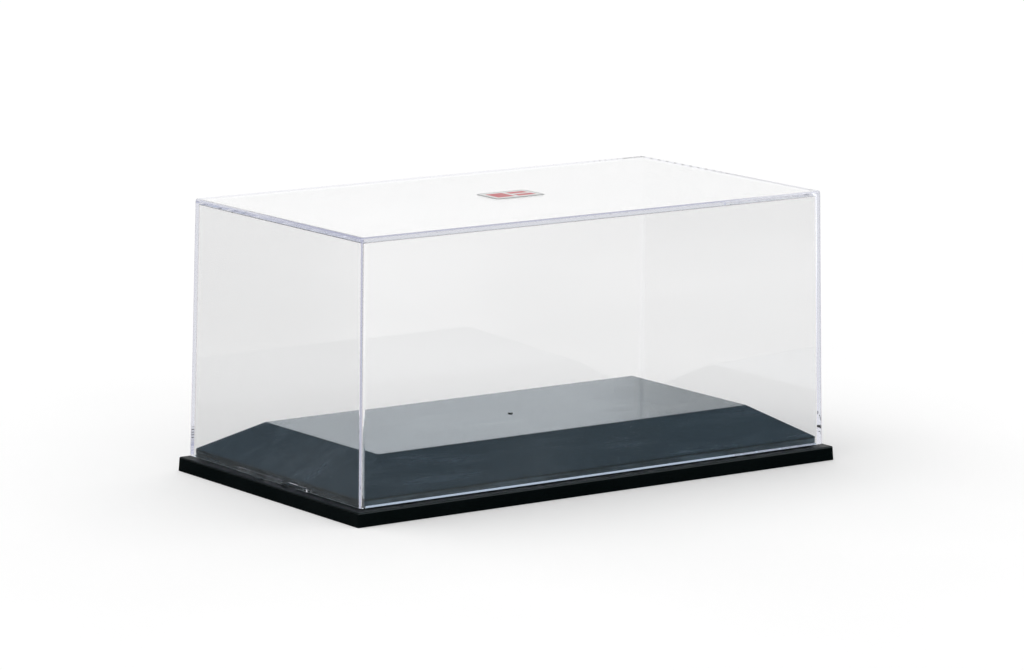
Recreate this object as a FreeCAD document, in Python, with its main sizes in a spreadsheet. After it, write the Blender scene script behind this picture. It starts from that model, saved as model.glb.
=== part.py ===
import FreeCAD, Part
import os
import Sketcher
from FreeCAD import Vector

doc = FreeCAD.newDocument("display_case")

# Driving dimensions, in millimetres and degrees
sizes = [
    ("cover_length", 240, "outside length of the clear cover at its rim"),
    ("cover_width", 130, "outside width of the clear cover at its rim"),
    ("cover_height", 110, "height of the clear cover from rim to top"),
    ("cover_wall", 2.2, "wall of the clear cover"),
    ("cover_draft", 1.0, "lean of the cover's walls, so that it leaves its mould"),
    ("cover_corner_radius", 1.5, "rounding of the cover's upright edges"),
    ("cover_top_radius", 0.9, "rounding of the cover's top edges"),
    ("cover_inner_radius", 0.5, "rounding of the edges inside the cover"),
    ("rim_bevel", 0.5, "bevel inside the rim of the cover's long sides, which leads it over the step"),
    ("lug_height", 0.9, "gap under the rim, as tall as the lugs that the cover stands on"),
    ("lug_length", 4.0, "flat length of one lug"),
    ("lug_ramp", 7.0, "length of the ramp from a lug's flat up to the rim"),
    ("finger_gap", 13.6, "clear distance between the two lugs of one end"),
    ("lip_length", 52, "length of the finger lip on each end of the cover"),
    ("lip_height", 1.7, "height of the finger lip above the rim"),
    ("lip_depth", 0.5, "how far the finger lip stands out"),
    ("ledge", 3.1, "width of the flange's top outside the cover"),
    ("flange_height", 6.0, "height of the flange that the case stands on"),
    ("flange_draft", 3.0, "lean of the flange's sides"),
    ("step_clearance", 0.6, "gap between the step and the inside of the cover"),
    ("step_height", 4.0, "height of the upright step that centres the cover"),
    ("slope_run", 21.4, "level run of the four sloping sides"),
    ("slope_rise", 12.7, "rise of the four sloping sides"),
    ("plinth_wall", 2.2, "wall of the hollow plinth"),
    ("plinth_edge_radius", 0.6, "rounding of the plinth's outer edges"),
    ("rib_thickness", 1.4, "thickness of the ribs under the deck"),
    ("rib_depth", 9.0, "how far the ribs hang below the deck's underside"),
    ("rib_pitch", 60, "distance from one cross rib to the next"),
    ("gate_diameter", 2.2, "mark in the middle of the deck, where the mould's gate was trimmed off"),
    ("gate_height", 0.45, "how far the gate mark stands up from the deck"),
    ("gate_radius", 0.3, "rounding of the gate mark's top"),
    ("label_length", 25, "length of the film label, along the cover"),
    ("label_width", 16, "width of the film label, across the cover"),
    ("label_thickness", 0.12, "thickness of the film label"),
    ("label_corner_radius", 1.5, "rounding of the film label's corners"),
]
sheet = doc.addObject("Spreadsheet::Sheet", "Sizes")
for row, (alias, number, meaning) in enumerate(sizes, 1):
    sheet.set(f"A{row}", meaning)
    sheet.set(f"B{row}", str(number))
    sheet.setAlias(f"B{row}", alias)
doc.recompute()

# Levels and outlines that several features share, worked out from the driving dimensions
ledge_top = "Sizes.flange_height"
rim_level = f"({ledge_top} + Sizes.lug_height)"
cover_top = f"({rim_level} + Sizes.cover_height)"
step_top = f"({ledge_top} + Sizes.step_height)"
deck_top = f"({step_top} + Sizes.slope_rise)"
cover_outline = ("Sizes.cover_length", "Sizes.cover_width")
tiny = 1e-6


def value(expression):
    """What an expression on the sheet comes to, as a plain number."""
    return float(sheet.evalExpression(expression))


def origin_feature(body, role):
    """One of the body's own origin planes or axes."""
    return next(item for item in body.Origin.OriginFeatures if item.Role == role)


def new_sketch(body, name, role, offset):
    """An empty sketch on one of the body's origin planes, moved along that plane's normal."""
    sketch = body.newObject("Sketcher::SketchObject", name)
    sketch.AttachmentSupport = (origin_feature(body, role), [""])
    sketch.MapMode = "FlatFace"
    sketch.setExpression("AttachmentOffset.Base.z", offset)
    return sketch


def dimension(sketch, constraint, name, expression):
    """Add a named dimension to a sketch and bind it to the sheet."""
    index = sketch.addConstraint(constraint)
    sketch.renameConstraint(index, name)
    sketch.setExpression(f"Constraints.{name}", expression)


def polygon(body, name, role, points, offset="0"):
    """A closed outline, whose corners are given as pairs of distances from the origin."""
    sketch = new_sketch(body, name, role, offset)
    corners = [Vector(value(across), value(up)) for across, up in points]
    count = len(corners)
    for index, corner in enumerate(corners):
        sketch.addGeometry(Part.LineSegment(corner, corners[(index + 1) % count]))
    for index, (across, up) in enumerate(points):
        sketch.addConstraint(Sketcher.Constraint("Coincident", index, 2, (index + 1) % count, 1))
        across_now, up_now = corners[index].x, corners[index].y
        dimension(sketch, Sketcher.Constraint("DistanceX", -1, 1, index, 1, across_now), f"Across{index}", across)
        dimension(sketch, Sketcher.Constraint("DistanceY", -1, 1, index, 1, up_now), f"Up{index}", up)
    return sketch


def circle(body, name, diameter, level):
    """A level circle round the upright axis."""
    sketch = new_sketch(body, name, "XY_Plane", level)
    sketch.addGeometry(Part.Circle(Vector(0, 0, 0), Vector(0, 0, 1), value(diameter) / 2))
    sketch.addConstraint(Sketcher.Constraint("Coincident", 0, 3, -1, 1))
    dimension(sketch, Sketcher.Constraint("Diameter", 0, value(diameter)), "Diameter", diameter)
    return sketch


def pad(body, name, profile, length, sides="One side"):
    """A solid pulled out of a sketch along its normal."""
    feature = body.newObject("PartDesign::Pad", name)
    feature.Profile = profile
    feature.SideType = sides
    feature.setExpression("Length", length)
    doc.recompute()
    return feature


def block(body, name, outline, level, height):
    """An upright block on a level rectangle round the upright axis."""
    half_length, half_width = (f"({size}) / 2" for size in outline)
    corners = [(f"-{half_length}", f"-{half_width}"), (half_length, f"-{half_width}"),
               (half_length, half_width), (f"-{half_length}", half_width)]
    return pad(body, name, polygon(body, name + "_outline", "XY_Plane", corners, level), height)


def face_names(shape, wanted):
    """Names of the faces that pass a test."""
    return [f"Face{index}" for index, face in enumerate(shape.Faces, 1) if wanted(face)]


def edge_names(shape, wanted):
    """Names of the edges that pass a test."""
    return [f"Edge{index}" for index, edge in enumerate(shape.Edges, 1) if wanted(edge)]


def climbs(shape):
    """True for a face or edge that goes up, whether straight or leaning."""
    return shape.BoundBox.ZLength > tiny


def lies_at(edge, level):
    """True for an edge that lies level at a height."""
    return not climbs(edge) and abs(edge.BoundBox.ZMin - value(level)) < tiny


def lies_on(edge, others):
    """True for an edge whose middle lies on one of the other edges."""
    middle = Part.Vertex(edge.CenterOfMass)
    return any(middle.distToShape(other)[0] < tiny for other in others)


def foot_face(shape):
    """Name of the level face that a solid stands on, in a list."""
    return face_names(shape, lambda face: face.BoundBox.ZMax < shape.BoundBox.ZMin + tiny)


def lean(body, name, base, angle, below):
    """Lean the climbing faces that lie below a height inwards, from the foot up."""
    feature = body.newObject("PartDesign::Draft", name)
    top = value(below) + tiny
    feature.Base = (base, face_names(base.Shape, lambda face: climbs(face) and face.BoundBox.ZMax < top))
    feature.NeutralPlane = (base, foot_face(base.Shape))
    feature.setExpression("Angle", angle)
    doc.recompute()
    return feature


def hollow_out(body, name, base, wall):
    """Hollow a solid from its foot, leaving an even wall."""
    feature = body.newObject("PartDesign::Thickness", name)
    feature.Base = (base, foot_face(base.Shape))
    feature.Join = "Intersection"
    feature.Reversed = True
    feature.setExpression("Value", wall)
    doc.recompute()
    return feature


def round_edges(body, name, base, wanted, radius):
    """Round the edges that pass a test."""
    feature = body.newObject("PartDesign::Fillet", name)
    feature.Base = (base, edge_names(base.Shape, wanted))
    feature.setExpression("Radius", radius)
    doc.recompute()
    return feature


# Black plinth: a deck with four sloping sides, on an upright step, on the flange that the case stands on
plinth = doc.addObject("PartDesign::Body", "base_plinth")
step_inset = "(Sizes.cover_wall + Sizes.step_clearance)"
step_outline = tuple(f"({size} - 2 * {step_inset})" for size in cover_outline)
flange_lean = "(Sizes.flange_height * tan(Sizes.flange_draft))"
flange_outline = tuple(f"({size} + 2 * (Sizes.ledge + {flange_lean}))" for size in cover_outline)
slope_block = block(plinth, "slope_block", step_outline, step_top, "Sizes.slope_rise")
lean(plinth, "slopes", slope_block, "atan(Sizes.slope_run / Sizes.slope_rise)", deck_top)
block(plinth, "step", step_outline, ledge_top, "Sizes.step_height")
flange_block = block(plinth, "flange_block", flange_outline, "0", ledge_top)
plinth_solid = lean(plinth, "flange", flange_block, "Sizes.flange_draft", ledge_top)
hollow_out(plinth, "hollow", plinth_solid, "Sizes.plinth_wall")

# Ribs under the deck, one along the plinth and three across it, ending inside the sloping walls
rib_foot = f"({deck_top} - Sizes.plinth_wall - Sizes.rib_depth)"
rib_top = f"({deck_top} - Sizes.plinth_wall / 2)"


def rib_reach(outline, level):
    """Half the length of a rib at a height, out to the middle of the plinth's wall."""
    slope = "(Sizes.slope_run / Sizes.slope_rise)"
    half_wall = "Sizes.plinth_wall / 2"
    in_slope = f"{outline} / 2 - ({level} - {step_top}) * {slope} - {half_wall} * sqrt(1 + {slope} ^ 2)"
    in_step = f"{outline} / 2 - {half_wall}"
    return f"min({in_slope}; {in_step})"


def rib(name, role, outline, offset="0"):
    """A thin web that hangs under the deck, in an upright plane."""
    low, high = rib_reach(outline, rib_foot), rib_reach(outline, rib_top)
    corners = [(f"-{low}", rib_foot), (low, rib_foot), (high, rib_top), (f"-{high}", rib_top)]
    web = polygon(plinth, name + "_outline", role, corners, offset)
    return pad(plinth, name, web, "Sizes.rib_thickness", "Symmetric")


rib("long_rib", "XZ_Plane", step_outline[0])
cross_rib = rib("cross_rib", "YZ_Plane", step_outline[1], "-Sizes.rib_pitch")
cross_ribs = plinth.newObject("PartDesign::LinearPattern", "cross_ribs")
cross_ribs.Originals = [cross_rib]
cross_ribs.Direction = (origin_feature(plinth, "X_Axis"), [""])
cross_ribs.Occurrences = 3
cross_ribs.setExpression("Length", "2 * Sizes.rib_pitch")
plinth.Tip = cross_ribs

# Gate mark in the middle of the deck, the stub that is left where the plastic came into the mould
gate_outline = circle(plinth, "gate_outline", "Sizes.gate_diameter", deck_top)
gate_stub = pad(plinth, "gate_stub", gate_outline, "Sizes.gate_height")
gate_top = f"({deck_top} + Sizes.gate_height)"
gate_mark = round_edges(plinth, "gate_mark", gate_stub, lambda edge: lies_at(edge, gate_top), "Sizes.gate_radius")


def shows_outside(edge):
    """True for the plinth's outer edges, apart from its foot and the root of the step."""
    if climbs(edge):
        return True
    beside_cover = any(abs(middle) > value(size) / 2 for middle, size in zip(edge.CenterOfMass, cover_outline))
    return beside_cover and lies_at(edge, ledge_top) or lies_at(edge, step_top) or lies_at(edge, deck_top)


outer_edges = [edge for edge in plinth_solid.Shape.Edges if shows_outside(edge)]
round_edges(plinth, "outer_edges", gate_mark, lambda edge: lies_on(edge, outer_edges), "Sizes.plinth_edge_radius")

# Clear cover: a top and four leaning walls in one moulding, open underneath
cover = doc.addObject("PartDesign::Body", "clear_cover")
cover_block = block(cover, "cover_block", cover_outline, rim_level, "Sizes.cover_height")
cover_solid = lean(cover, "outside", cover_block, "Sizes.cover_draft", cover_top)
cover_shell = hollow_out(cover, "inside", cover_solid, "Sizes.cover_wall")
outer_uprights = [edge for edge in cover_solid.Shape.Edges if climbs(edge)]
ceiling = f"({cover_top} - Sizes.cover_wall)"
inner_edges = [edge for edge in cover_shell.Shape.Edges
               if climbs(edge) and not lies_on(edge, outer_uprights) or lies_at(edge, ceiling)]
cover_shape = round_edges(cover, "upright_edges", cover_shell, lambda edge: lies_on(edge, outer_uprights),
                          "Sizes.cover_corner_radius")
cover_shape = round_edges(cover, "top_edges", cover_shape, lambda edge: lies_at(edge, cover_top),
                          "Sizes.cover_top_radius")
cover_shape = round_edges(cover, "inner_edges", cover_shape, lambda edge: lies_on(edge, inner_edges),
                          "Sizes.cover_inner_radius")

# Bevel inside the rim of one long side, which leads the cover over the step
inside_face = "(Sizes.cover_width / 2 - Sizes.cover_wall / cos(Sizes.cover_draft))"
clear_of_wall = f"({inside_face} - Sizes.rim_bevel)"
bevel_corners = [(clear_of_wall, rim_level), (f"({inside_face} + Sizes.rim_bevel)", rim_level),
                 (clear_of_wall, f"({rim_level} + 2 * Sizes.rim_bevel)")]
bevel = cover.newObject("PartDesign::Pocket", "bevel")
bevel.Profile = polygon(cover, "bevel_outline", "YZ_Plane", bevel_corners)
bevel.SideType = "Symmetric"
bevel_end = "(Sizes.cover_wall + Sizes.cover_inner_radius + Sizes.rim_bevel)"
bevel.setExpression("Length", f"Sizes.cover_length - 2 * {bevel_end}")
doc.recompute()

# The other long side is the same
rim = cover.newObject("PartDesign::Mirrored", "rim")
rim.Originals = [bevel]
rim.MirrorPlane = (origin_feature(cover, "XZ_Plane"), [""])
cover.Tip = rim
doc.recompute()

# Finger lip on one end of the cover, standing out from the wall above the rim
wall_middle = "(Sizes.cover_length / 2 - Sizes.cover_wall / 2)"
lip_face = "(Sizes.cover_length / 2 + Sizes.lip_depth)"
lip_top = f"({rim_level} + Sizes.lip_height)"
lip_corners = [(wall_middle, rim_level), (lip_face, rim_level), (lip_face, lip_top), (wall_middle, lip_top)]
lip = pad(cover, "lip", polygon(cover, "lip_outline", "XZ_Plane", lip_corners), "Sizes.lip_length", "Symmetric")

# Two lugs under that end's rim, either side of the finger gap, which stand on the ledge
lugs = []
for side in ("", "-"):
    lug_start = "Sizes.finger_gap / 2"
    lug_flat_end = f"({lug_start} + Sizes.lug_length)"
    lug_ramp_end = f"({lug_flat_end} + Sizes.lug_ramp)"
    lug_root = f"({rim_level} + Sizes.lip_height / 2)"
    lug_corners = [(lug_start, ledge_top), (lug_flat_end, ledge_top), (lug_ramp_end, rim_level),
                   (lug_ramp_end, lug_root), (lug_start, lug_root)]
    lug_corners = [(f"{side}{across}", up) for across, up in lug_corners]
    lug_name = f"lug_{len(lugs) + 1}"
    lug_outline = polygon(cover, lug_name + "_outline", "YZ_Plane", lug_corners,
                          "Sizes.cover_length / 2 - Sizes.cover_wall")
    lugs.append(pad(cover, lug_name, lug_outline, "Sizes.cover_wall"))

# The other end is the same
other_end = cover.newObject("PartDesign::Mirrored", "other_end")
other_end.Originals = [lip, *lugs]
other_end.MirrorPlane = (origin_feature(cover, "YZ_Plane"), [""])
cover.Tip = other_end

# Film label stuck on the middle of the cover's top
label = doc.addObject("PartDesign::Body", "top_label")
label_block = block(label, "film", ("Sizes.label_length", "Sizes.label_width"), cover_top, "Sizes.label_thickness")
round_edges(label, "film_corners", label_block, climbs, "Sizes.label_corner_radius")

# Every feature has come out, every cut has cut, and every piece is one sound solid
doc.recompute()
for item in doc.Objects:
    if "Invalid" in item.State or "Error" in item.State:
        raise RuntimeError(f"{item.Name} failed: {item.State}")
if not rim.Shape.Volume < bevel.Shape.Volume < cover_shape.Shape.Volume:
    raise RuntimeError("the rim's bevels have not both cut")
pieces = (plinth, cover, label)
for piece in pieces:
    if piece.Shape.isNull() or not piece.Shape.isValid() or len(piece.Shape.Solids) != 1:
        raise RuntimeError(f"{piece.Label} is not one sound solid")

os.makedirs("parts", exist_ok=True)
for piece in pieces:
    piece.Shape.exportStep(f"parts/{piece.Label}.step")
    print(piece.Label, round(piece.Shape.Volume), "mm3", piece.Shape.BoundBox)
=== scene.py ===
import math
import bpy
from mathutils import Matrix, Vector


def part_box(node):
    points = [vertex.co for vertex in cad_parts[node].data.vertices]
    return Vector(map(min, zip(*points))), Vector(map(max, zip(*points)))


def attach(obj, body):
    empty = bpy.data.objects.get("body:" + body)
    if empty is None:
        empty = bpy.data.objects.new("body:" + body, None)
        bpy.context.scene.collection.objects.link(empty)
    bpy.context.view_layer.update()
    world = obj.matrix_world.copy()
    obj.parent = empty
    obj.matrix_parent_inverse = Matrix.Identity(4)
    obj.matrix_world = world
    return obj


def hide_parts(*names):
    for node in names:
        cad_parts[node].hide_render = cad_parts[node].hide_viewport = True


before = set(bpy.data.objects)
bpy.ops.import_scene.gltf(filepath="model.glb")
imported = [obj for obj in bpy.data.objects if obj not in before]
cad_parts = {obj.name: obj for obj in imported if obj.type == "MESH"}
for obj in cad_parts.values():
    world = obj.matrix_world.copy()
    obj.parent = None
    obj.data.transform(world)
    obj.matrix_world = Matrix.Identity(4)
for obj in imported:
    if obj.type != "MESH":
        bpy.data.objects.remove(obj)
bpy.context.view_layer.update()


# The black plinth
# One moulding of gloss black polystyrene: flange, ledge, locating step, four slopes and a flat deck.
# It comes from a polished steel mould and stands on the foot of its flange, with nothing screwed to it.
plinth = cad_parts["base_plinth"]
flange_top = 0.006
step_top = 0.010
polystyrene_ior = 1.59
mirror_tint = (0.80, 0.95, 1.0, 1.0)
clean_black = (0.0016, 0.0034, 0.0036, 1.0)
wiped_black = (0.0420, 0.0520, 0.0660, 1.0)
# The step's lighter cool blue is a painted reflection, with rub marks in it
scuff_and_reflection_blue = (0.088, 0.135, 0.178, 1.0)


def start_material(name):
    """A new node material with its Principled shader, and the object's own coordinates."""
    material = bpy.data.materials.new(name)
    material.use_nodes = True
    shader = material.node_tree.nodes["Principled BSDF"]
    place = material.node_tree.nodes.new("ShaderNodeTexCoord")
    return material, shader, place.outputs["Object"]


black_gloss, black_shader, black_place = start_material("gloss_black_polystyrene")
black_links = black_gloss.node_tree.links
black_shader.inputs["IOR"].default_value = polystyrene_ior
black_shader.inputs["Specular Tint"].default_value = mirror_tint


def axes_of(material, place):
    """The coordinates of a place one by one, as X, Y and Z."""
    splitter = material.node_tree.nodes.new("ShaderNodeSeparateXYZ")
    material.node_tree.links.new(place, splitter.inputs["Vector"])
    return splitter.outputs


def clouds(material, place, scale, detail, roughness):
    """A soft noise with so many features along each unit of its coordinates."""
    noise = material.node_tree.nodes.new("ShaderNodeTexNoise")
    noise.inputs["Scale"].default_value = scale
    noise.inputs["Detail"].default_value = detail
    noise.inputs["Roughness"].default_value = roughness
    material.node_tree.links.new(place, noise.inputs["Vector"])
    return noise.outputs["Fac"]


def streaks(material, place, scales, detail, roughness):
    """A soft noise with its own number of features per metre along each axis."""
    mapping = material.node_tree.nodes.new("ShaderNodeMapping")
    mapping.inputs["Scale"].default_value = scales
    material.node_tree.links.new(place, mapping.inputs["Vector"])
    return clouds(material, mapping.outputs["Vector"], 1.0, detail, roughness)


def spread(material, value, over, gives=(0.0, 1.0)):
    """A value moved smoothly from one range to another."""
    mover = material.node_tree.nodes.new("ShaderNodeMapRange")
    mover.interpolation_type = "SMOOTHSTEP"
    mover.inputs["From Min"].default_value = over[0]
    mover.inputs["From Max"].default_value = over[1]
    mover.inputs["To Min"].default_value = gives[0]
    mover.inputs["To Max"].default_value = gives[1]
    material.node_tree.links.new(value, mover.inputs["Value"])
    return mover.outputs["Result"]


def sum_of(material, operation, first, second):
    """One sum on two values, each of them a number or a socket."""
    sum_node = material.node_tree.nodes.new("ShaderNodeMath")
    sum_node.operation = operation
    for socket, value in zip(sum_node.inputs, (first, second)):
        if isinstance(value, float):
            socket.default_value = value
        else:
            material.node_tree.links.new(value, socket)
    return sum_node.outputs[0]


def product(material, *values):
    """All the values multiplied together, each of them a number or a socket."""
    result = values[0]
    for value in values[1:]:
        result = sum_of(material, "MULTIPLY", result, value)
    return result


def two_tones(material, amount, first, second):
    """From the first colour to the second as the amount goes from 0 to 1, each a colour or a socket."""
    mixer = material.node_tree.nodes.new("ShaderNodeMix")
    mixer.data_type = "RGBA"
    material.node_tree.links.new(amount, mixer.inputs["Factor"])
    for name, tone in (("A", first), ("B", second)):
        if isinstance(tone, tuple):
            mixer.inputs[name].default_value = tone
        else:
            material.node_tree.links.new(tone, mixer.inputs[name])
    return mixer.outputs["Result"]


# Cloth wipes leave faint long streaks on the deck and the slopes
black_axes = axes_of(black_gloss, black_place)
black_level = black_axes["Z"]
wipes = streaks(black_gloss, black_place, scales=(14.0, 90.0, 90.0), detail=5.0, roughness=0.62)
above_step = spread(black_gloss, black_level, over=(step_top, step_top + 0.0010))
wipe_strength = product(black_gloss, spread(black_gloss, wipes, over=(0.46, 0.74)), above_step)
streaked_black = two_tones(black_gloss, wipe_strength, clean_black, wiped_black)

# Painted reflection: the upright step is painted a lighter cool blue in place of the light it mirrors,
# in full along the long sides and weaker at the ends, broken up by rub-mark streaks
end_reflection_share = 0.30
off_middle = sum_of(black_gloss, "ABSOLUTE", black_axes["Y"], 0.0)
long_side = spread(black_gloss, off_middle, over=(0.0610, 0.0618))
side_reflection_share = sum_of(black_gloss, "MAXIMUM", long_side, end_reflection_share)
past_ledge = spread(black_gloss, black_level, over=(flange_top + 0.0004, flange_top + 0.0012))
under_slope = spread(
    black_gloss,
    black_level,
    over=(step_top - 0.0010, step_top - 0.0002),
    gives=(1.0, 0.0),
)
rub_marks = streaks(black_gloss, black_place, scales=(30.0, 30.0, 260.0), detail=4.0, roughness=0.6)
rub_strength = spread(black_gloss, rub_marks, over=(0.32, 0.68), gives=(0.35, 1.0))
# Painted reflection on the upright step, with rub-mark streaks through it
scuffs_and_painted_reflection = product(black_gloss, past_ledge, under_slope, side_reflection_share, rub_strength)
black_links.new(
    two_tones(black_gloss, scuffs_and_painted_reflection, streaked_black, scuff_and_reflection_blue),
    black_shader.inputs["Base Color"],
)

# Handling leaves dull patches
dull_patches = clouds(black_gloss, black_place, scale=34.0, detail=3.0, roughness=0.5)
handled_gloss = spread(black_gloss, dull_patches, over=(0.30, 0.72), gives=(0.07, 0.13))

# The ledge that the cover stands on comes out of the mould with a fine matt texture
ledge_roughness = 0.40
above_side = spread(black_gloss, black_level, over=(flange_top - 0.0005, flange_top - 0.0001))
below_step = spread(
    black_gloss,
    black_level,
    over=(flange_top + 0.0001, flange_top + 0.0003),
    gives=(1.0, 0.0),
)
matt_ledge = product(black_gloss, above_side, below_step, ledge_roughness)
black_links.new(sum_of(black_gloss, "ADD", handled_gloss, matt_ledge), black_shader.inputs["Roughness"])


def relief(material, height, distance, under=None):
    """A bump of so many metres, on top of another one where that is given."""
    bump = material.node_tree.nodes.new("ShaderNodeBump")
    bump.inputs["Strength"].default_value = 1.0
    bump.inputs["Distance"].default_value = distance
    material.node_tree.links.new(height, bump.inputs["Height"])
    if under is not None:
        material.node_tree.links.new(under, bump.inputs["Normal"])
    return bump.outputs["Normal"]


# The moulded skin is a little uneven where the plastic shrank, with a very fine grain over it
shrink_depth = 0.00010
grain_depth = 0.0000030
shrink_waves = clouds(black_gloss, black_place, scale=26.0, detail=2.0, roughness=0.4)
fine_grain = clouds(black_gloss, black_place, scale=2600.0, detail=2.0, roughness=0.5)
black_waves = relief(black_gloss, shrink_waves, shrink_depth)
black_links.new(
    relief(black_gloss, fine_grain, grain_depth, under=black_waves),
    black_shader.inputs["Normal"],
)
plinth.material_slots[0].material = black_gloss


# The clear cover
# One moulding of clear polystyrene with five thin walls, a finger lip and two lugs at each short end.
# Its walls taper so that it leaves the mould, and it stands loose on the plinth's ledge.
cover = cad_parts["clear_cover"]
cover_low, cover_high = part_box("clear_cover")
# Colours of the painted glow that the cover gives out along its edges
painted_blue_glow = (0.28, 0.283, 0.335, 1.0)
painted_white_glow = (0.44, 0.44, 0.45, 1.0)

clear_gloss, clear_shader, clear_place = start_material("clear_polystyrene")
clear_nodes = clear_gloss.node_tree.nodes
clear_links = clear_gloss.node_tree.links
clear_shader.inputs["Base Color"].default_value = (1.0, 1.0, 1.0, 1.0)
clear_shader.inputs["IOR"].default_value = polystyrene_ior
clear_shader.inputs["Transmission Weight"].default_value = 1.0

# The panes are polished, with faint flow lines and a few dull fingermarks
flow_depth = 0.00004
fingermarks = clouds(clear_gloss, clear_place, scale=42.0, detail=4.0, roughness=0.6)
clear_links.new(
    spread(clear_gloss, fingermarks, over=(0.45, 0.80), gives=(0.0, 0.03)),
    clear_shader.inputs["Roughness"],
)
flow_lines = streaks(clear_gloss, clear_place, scales=(12.0, 12.0, 20.0), detail=2.0, roughness=0.4)
clear_links.new(relief(clear_gloss, flow_lines, flow_depth), clear_shader.inputs["Normal"])

# Painted glow: where a path reaches the bounce limit a short way past a wall, the plastic gives out a
# pale glow, in place of the light that would run on inside the walls and come out along the edges
bounce_limit = 24
corner_reach = 0.016
glow_light_path = clear_nodes.new("ShaderNodeLightPath").outputs
at_bounce_limit = sum_of(clear_gloss, "GREATER_THAN", glow_light_path["Ray Depth"], bounce_limit - 0.5)
in_a_corner = sum_of(clear_gloss, "LESS_THAN", glow_light_path["Ray Length"], corner_reach)
clear_links.new(
    product(clear_gloss, at_bounce_limit, in_a_corner),
    clear_shader.inputs["Emission Strength"],
)

# The painted glow is blue at the left end and in the top, and whiter in the other walls
near_wall = 0.003
far_from_wall = 0.006
clear_axes = axes_of(clear_gloss, clear_place)
past_left_end = spread(
    clear_gloss,
    clear_axes["X"],
    over=(cover_low.x + near_wall, cover_low.x + far_from_wall),
)
in_front_wall = spread(
    clear_gloss,
    clear_axes["Y"],
    over=(cover_low.y + near_wall, cover_low.y + far_from_wall),
    gives=(1.0, 0.0),
)
below_top = spread(
    clear_gloss,
    clear_axes["Z"],
    over=(cover_high.z - far_from_wall, cover_high.z - near_wall),
    gives=(1.0, 0.0),
)
front_or_below = sum_of(clear_gloss, "MAXIMUM", in_front_wall, below_top)
whiter_painted_glow = product(clear_gloss, past_left_end, front_or_below)
clear_links.new(
    two_tones(clear_gloss, whiter_painted_glow, painted_blue_glow, painted_white_glow),
    clear_shader.inputs["Emission Color"],
)
clear_gloss.cycles.emission_sampling = "NONE"

# Seen through a long way of plastic, as along an edge, the clear plastic is pale blue
edge_tint = clear_nodes.new("ShaderNodeVolumeAbsorption")
edge_tint.inputs["Color"].default_value = (0.574, 0.615, 0.814, 1.0)
edge_tint.inputs["Density"].default_value = 2.5
clear_links.new(edge_tint.outputs["Volume"], clear_nodes["Material Output"].inputs["Volume"])
cover.material_slots[0].material = clear_gloss


# The label
# A small printed plastic film with rounded corners.
# It is die cut and stuck on the middle of the cover's top.
label_low, label_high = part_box("top_label")
label_length = label_high.x - label_low.x
label_width = label_high.y - label_low.y
label_gap = 0.00001
label_thickness = label_high.z - label_low.z - label_gap
label_corner = 0.0015

bpy.ops.object.select_all(action="DESELECT")
bpy.ops.mesh.primitive_cube_add(size=1.0)
label = bpy.context.object
label.name = "film_label"
label.data.name = "film_label"
label.scale = (label_length, label_width, label_thickness)
label.location = (
    (label_low.x + label_high.x) / 2,
    (label_low.y + label_high.y) / 2,
    label_low.z + label_gap + label_thickness / 2,
)
bpy.ops.object.transform_apply(location=True, rotation=True, scale=True)
bpy.ops.object.mode_set(mode="EDIT")
bpy.ops.mesh.select_mode(type="EDGE")
bpy.ops.mesh.select_all(action="DESELECT")
bpy.ops.object.mode_set(mode="OBJECT")
for edge in label.data.edges:
    one, other = [label.data.vertices[i].co for i in edge.vertices]
    edge.select = abs(one.z - other.z) > label_thickness / 2
bpy.ops.object.mode_set(mode="EDIT")
bpy.ops.mesh.bevel(offset=label_corner, segments=8, affect="EDGES")
bpy.ops.object.mode_set(mode="OBJECT")

film, film_shader, film_place = start_material("printed_film")
film_links = film.node_tree.links
film_axes = axes_of(film, film_place)
ink_edge = 0.00008


def past(value, start):
    """1 where the film's coordinate lies past a start, and 0 before it."""
    return spread(film, value, over=(start - ink_edge, start + ink_edge))


def printed_block(left, right, low, high):
    """1 inside a plain printed rectangle, and 0 outside it."""
    along = sum_of(film, "SUBTRACT", past(film_axes["X"], left), past(film_axes["X"], right))
    across = sum_of(film, "SUBTRACT", past(film_axes["Y"], low), past(film_axes["Y"], high))
    return product(film, along, across)


# The print is a grey border with one plain red panel and two plain red bars
border = 0.0009
inner_length = label_length / 2 - border
inner_width = label_width / 2 - border
print_length = 0.0098
print_width = 0.0050
panel_right = -0.0012
bars_left = 0.0008
bars_inside = 0.0010
inside_border = printed_block(-inner_length, inner_length, -inner_width, inner_width)
red_panel = printed_block(-print_length, panel_right, -print_width, print_width)
upper_bar = printed_block(bars_left, print_length, bars_inside, print_width)
lower_bar = printed_block(bars_left, print_length, -print_width, -bars_inside)
red_print = sum_of(film, "MAXIMUM", red_panel, sum_of(film, "MAXIMUM", upper_bar, lower_bar))

# The inks are a little mottled, and so is the bare film round them
mottle = clouds(film, film_place, scale=900.0, detail=3.0, roughness=0.6)
ink_mottle = spread(film, mottle, over=(0.30, 0.70))
red_ink = two_tones(film, ink_mottle, (0.50, 0.035, 0.055, 1.0), (0.60, 0.060, 0.080, 1.0))
grey_ink = two_tones(film, ink_mottle, (0.30, 0.31, 0.31, 1.0), (0.36, 0.37, 0.37, 1.0))
bare_film = two_tones(film, ink_mottle, (0.74, 0.74, 0.74, 1.0), (0.80, 0.80, 0.79, 1.0))
with_border = two_tones(film, inside_border, grey_ink, bare_film)
film_links.new(two_tones(film, red_print, with_border, red_ink), film_shader.inputs["Base Color"])
film_links.new(
    spread(film, ink_mottle, over=(0.0, 1.0), gives=(0.30, 0.38)),
    film_shader.inputs["Roughness"],
)

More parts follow.
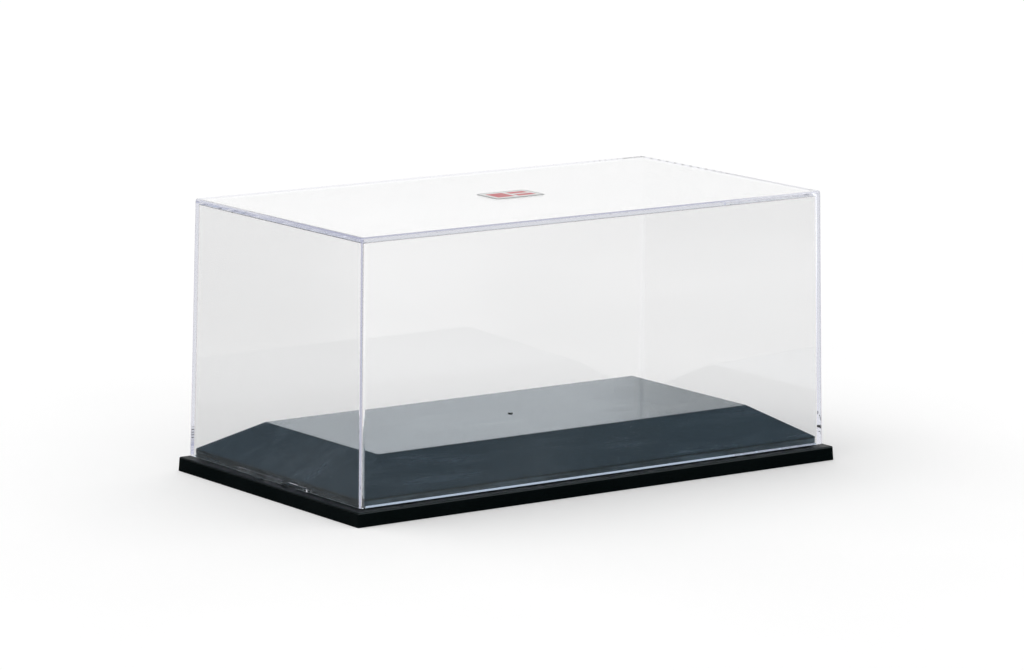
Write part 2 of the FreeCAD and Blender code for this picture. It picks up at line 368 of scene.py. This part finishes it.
# The film follows the glue under it in low waves
glue_depth = 0.00004
glue_waves = clouds(film, film_place, scale=300.0, detail=2.0, roughness=0.5)
film_links.new(relief(film, glue_waves, glue_depth), film_shader.inputs["Normal"])
label.data.materials.append(film)
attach(label, "cover")
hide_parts("top_label")


# The floor
# A plain pale table top, wide enough to reach past the picture on every side.
floor_radius = 9.0
floor_level = -0.0001
floor_glow = 0.13
pale_grey = (0.900, 0.900, 0.900, 1.0)
paler_grey = (0.925, 0.925, 0.925, 1.0)

bpy.ops.object.select_all(action="DESELECT")
bpy.ops.mesh.primitive_circle_add(
    vertices=96,
    radius=floor_radius,
    fill_type="NGON",
    location=(0.0, 0.0, floor_level),
)
floor = bpy.context.object
floor.name = "pale_floor"
bpy.ops.object.transform_apply(location=True, rotation=True, scale=True)

pale_top, pale_shader, pale_place = start_material("pale_table_top")
pale_nodes = pale_top.node_tree.nodes
pale_links = pale_top.node_tree.links
pale_shader.inputs["Roughness"].default_value = 0.9
pale_shader.inputs["Specular IOR Level"].default_value = 0.0
pale_clouds = clouds(pale_top, pale_place, scale=5.0, detail=2.0, roughness=0.5)
pale_links.new(
    two_tones(pale_top, spread(pale_top, pale_clouds, over=(0.3, 0.7)), pale_grey, paler_grey),
    pale_shader.inputs["Base Color"],
)

# Seen straight or through the clear walls it is white, and gloss shows the room round it instead
floor_path = pale_nodes.new("ShaderNodeLightPath").outputs
floor_seen = sum_of(pale_top, "MAXIMUM", floor_path["Is Camera Ray"], floor_path["Is Transmission Ray"])
white_glow = pale_nodes.new("ShaderNodeEmission")
pale_links.new(product(pale_top, floor_seen, floor_glow), white_glow.inputs["Strength"])
lit_and_glow = pale_nodes.new("ShaderNodeAddShader")
pale_links.new(pale_shader.outputs["BSDF"], lit_and_glow.inputs[0])
pale_links.new(white_glow.outputs["Emission"], lit_and_glow.inputs[1])
room_beyond = pale_nodes.new("ShaderNodeBsdfTransparent")
floor_or_room = pale_nodes.new("ShaderNodeMixShader")
in_gloss = sum_of(pale_top, "GREATER_THAN", floor_path["Glossy Depth"], 0.5)
pale_links.new(in_gloss, floor_or_room.inputs["Fac"])
pale_links.new(lit_and_glow.outputs["Shader"], floor_or_room.inputs[1])
pale_links.new(room_beyond.outputs["BSDF"], floor_or_room.inputs[2])
pale_links.new(floor_or_room.outputs["Shader"], pale_nodes["Material Output"].inputs["Surface"])
floor.data.materials.append(pale_top)


# The studio light
# A white room that is bright all round and a little dimmer overhead.
# One large soft lamp above the case adds to it.
room = bpy.data.worlds.new("white_studio")
bpy.context.scene.world = room
room.use_nodes = True
room.cycles.sampling_method = "NONE"
room_nodes = room.node_tree.nodes
room_links = room.node_tree.links
room_light = room_nodes["Background"]
plain_white = (1.0, 1.0, 1.0, 1.0)
cool_white = (0.74, 1.0, 1.24, 1.0)
direction = room_nodes.new("ShaderNodeTexCoord").outputs["Generated"]
heading = axes_of(room, direction)
upward = heading["Z"]
around = sum_of(room, "ARCTAN2", heading["Y"], heading["X"])
room_path = room_nodes.new("ShaderNodeLightPath").outputs


def at_least(count, kind):
    """1 for light that has met so many faces or more in one of the ways, and 0 for the rest."""
    return sum_of(room, "GREATER_THAN", room_path[kind], count - 0.5)


def opposite(value):
    """1 where a value is 0, and 0 where it is 1."""
    return sum_of(room, "SUBTRACT", 1.0, value)


# In reflections the room is white at eye level and dimmer overhead
dimmer_above = spread(room, upward, over=(0.24, 0.52), gives=(1.03, 0.36))
brighter_top = spread(room, upward, over=(0.60, 0.85), gives=(0.0, 0.16))
above_table = spread(room, upward, over=(-0.03, 0.07))
open_room = product(room, sum_of(room, "ADD", dimmer_above, brighter_top), above_table)

# What the plinth mirrors is seen through the case, brighter, and dimmer towards the right
case_brightness = 0.24
right_edge = (math.radians(52.4), math.radians(53.1))
through_case = at_least(4, "Transmission Depth")
to_right = spread(room, around, over=right_edge, gives=(1.0, 0.0))
low_to_right = product(room, to_right, spread(room, upward, over=(0.30, 0.45), gives=(0.46, 0.0)))
case_gain = product(room, through_case, sum_of(room, "SUBTRACT", case_brightness, low_to_right))
case_room = product(room, open_room, sum_of(room, "ADD", 1.0, case_gain))

# Behind the case on the left the room is darker
left_edge = (math.radians(60.0), math.radians(72.0))
behind_left = spread(room, around, over=left_edge, gives=(1.0, 0.20))
upper_room = product(room, case_room, sum_of(room, "MAXIMUM", behind_left, through_case))

# Along the table it is dark with soft pale shapes, brighter in what the plinth mirrors
darkest_table = 0.01
left_table = 0.55
soft_shapes = clouds(room, direction, scale=16.0, detail=1.5, roughness=0.4)
pale_shapes = spread(room, soft_shapes, over=(0.42, 0.62), gives=(0.02, 0.45))
bright_shapes = spread(room, soft_shapes, over=(0.38, 0.60), gives=(0.50, 1.0))
case_table = product(room, through_case, sum_of(room, "MAXIMUM", behind_left, left_table))
case_shapes = product(room, bright_shapes, case_table)
table_part = spread(room, upward, over=(-0.190, -0.150), gives=(1.0, 0.0))
table_shapes = product(room, sum_of(room, "MAXIMUM", pale_shapes, case_shapes), table_part)
table_mirror = sum_of(room, "ADD", table_shapes, darkest_table)
reflected_room = sum_of(room, "ADD", upper_room, table_mirror)

# Light that an upright corner turns aside goes on downwards, away from what the panes mirror
across_mirror_x = 0.81
across_mirror_y = 0.58
mirror_reach = 0.10
is_reflected = at_least(1, "Glossy Depth")
in_one_wall = sum_of(room, "SUBTRACT", at_least(2, "Transmission Depth"), through_case)
off_mirror = sum_of(
    room,
    "ADD",
    product(room, heading["X"], across_mirror_x),
    product(room, heading["Y"], across_mirror_y),
)
not_mirrored = sum_of(room, "GREATER_THAN", sum_of(room, "ABSOLUTE", off_mirror, 0.0), mirror_reach)
below_level = sum_of(room, "LESS_THAN", upward, 0.0)
turned_aside = product(room, is_reflected, in_one_wall, not_mirrored, below_level)

# That light, and light that has gone round inside the plastic a few times, meets the room's mean light
overhead = (0.64, 0.74)
deep_inside = sum_of(room, "MAXIMUM", at_least(3, "Glossy Depth"), turned_aside)
not_deep = opposite(deep_inside)
low_mean = spread(room, upward, over=(0.34, 0.46), gives=(0.85, 0.04))
high_mean = spread(room, upward, over=overhead, gives=(0.0, 0.60))
mean_light = product(room, deep_inside, sum_of(room, "ADD", low_mean, high_mean))
reflected_light = sum_of(room, "ADD", product(room, reflected_room, not_deep), mean_light)

# Seen straight or through the panes the room is plain white, and it lights matt surfaces a little less
soft_strength = 0.80
is_soft = room_path["Is Diffuse Ray"]
shown = sum_of(room, "ADD", product(room, reflected_light, is_reflected), opposite(is_reflected))
shown_light = product(room, shown, opposite(is_soft))
soft_light = product(room, is_soft, soft_strength)
room_links.new(sum_of(room, "ADD", shown_light, soft_light), room_light.inputs["Strength"])

# Overhead it is cooler, in what the plinth mirrors and in what the rim gathers
in_plinth = product(room, is_reflected, not_deep, through_case)
cool_plinth = product(room, spread(room, upward, over=(0.05, 0.50)), in_plinth)
cool_rim = product(room, spread(room, upward, over=overhead, gives=(0.0, 0.6)), deep_inside)
cooler = sum_of(room, "ADD", cool_plinth, cool_rim)
room_links.new(two_tones(room, cooler, plain_white, cool_white), room_light.inputs["Color"])

bpy.ops.object.light_add(type="SUN", location=(-0.5, 0.3, 1.5))
lamp = bpy.context.object
lamp.name = "overhead_softbox"
lamp.rotation_euler = (math.radians(-14.0), math.radians(-18.0), 0.0)
lamp.data.angle = math.radians(50.0)
lamp.data.energy = 0.60
lamp.visible_glossy = False
lamp.visible_transmission = False


# The camera
# It stands at the near left of the case, a little above it, with a long lens.
camera_place = Vector((-1.20165, -1.66988, 0.42563))
aim_point = Vector((0.00071, -0.00084, 0.05654))
camera_roll = math.radians(0.439)
camera_data = bpy.data.cameras.new("studio_camera")
camera_data.lens = 172.74
camera_data.sensor_width = 36.0
camera_data.clip_end = 50.0
camera = bpy.data.objects.new("studio_camera", camera_data)
bpy.context.scene.collection.objects.link(camera)
camera_turn = (aim_point - camera_place).to_track_quat("-Z", "Y").to_matrix()
camera.location = camera_place
camera.rotation_euler = (camera_turn @ Matrix.Rotation(camera_roll, 3, "Z")).to_euler()
bpy.context.scene.camera = camera


# The picture
# Plain colours, and enough bounces for light that runs along inside the clear walls.
scene = bpy.context.scene
scene.view_settings.view_transform = "Standard"
scene.cycles.max_bounces = bounce_limit
scene.cycles.glossy_bounces = bounce_limit
scene.cycles.transmission_bounces = bounce_limit
